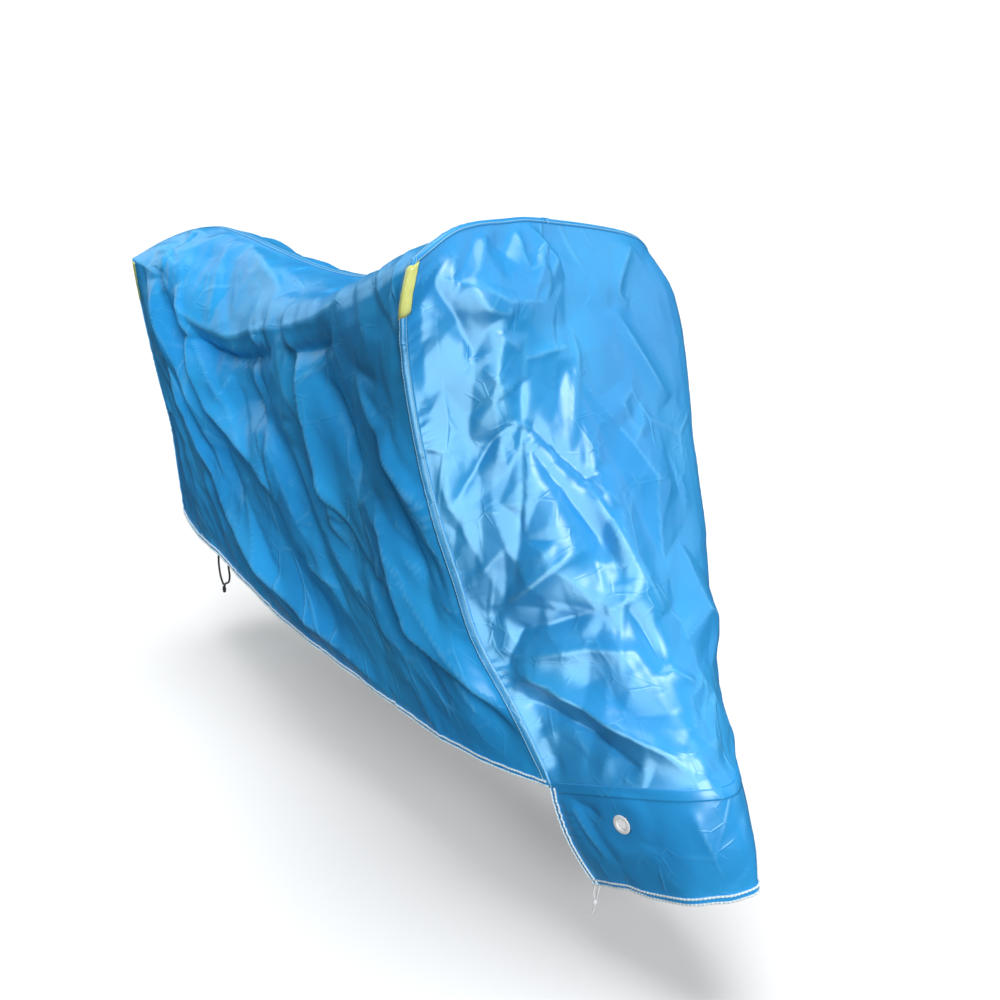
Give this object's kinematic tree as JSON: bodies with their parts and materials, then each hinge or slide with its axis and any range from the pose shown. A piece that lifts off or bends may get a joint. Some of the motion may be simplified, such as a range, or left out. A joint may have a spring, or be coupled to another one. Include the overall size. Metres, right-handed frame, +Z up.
{
  "type": "bicycle cover",
  "caption": "Fitted cover of coated cloth panels over a bicycle, with a front bib, hems, reflective strips, eyelets, a tie and a cord loop.",
  "frame": {"origin": "the point just under the cloth's top, on the centre plane over the saddle, where what is covered holds the cover up", "axes": "+X to the front of the bicycle, +Z up, -Y to the side that the picture shows"},
  "size_m": [1.8437, 0.5993, 1.0254],
  "materials": {
    "coated_cloth": "blue coated cloth with a soft gloss",
    "coated_cloth_side": "blue coated cloth with a soft gloss",
    "reflective_tape": "yellow-green reflective tape",
    "eyelet_plastic": "white moulded plastic",
    "white_cord": "white twisted cord",
    "black_cord": "black round elastic cord"
  },
  "bodies": {
    "root": {"side_near": "coated_cloth_side", "side_far": "coated_cloth_side", "rear_panel": "coated_cloth_side", "front_panel": "coated_cloth", "front_bib": "coated_cloth", "strip_front_near": "reflective_tape", "strip_front_far": "reflective_tape", "strip_rear_near": "reflective_tape", "strip_rear_far": "reflective_tape", "eyelet_near": "eyelet_plastic", "eyelet_far": "eyelet_plastic", "tie_strand_a": "white_cord", "tie_strand_b": "white_cord", "tie_tail": "white_cord", "tie_knot": "white_cord", "loop_leg_a": "black_cord", "loop_leg_b": "black_cord", "loop_crimp": "black_cord"}
  },
  "joints": []
}
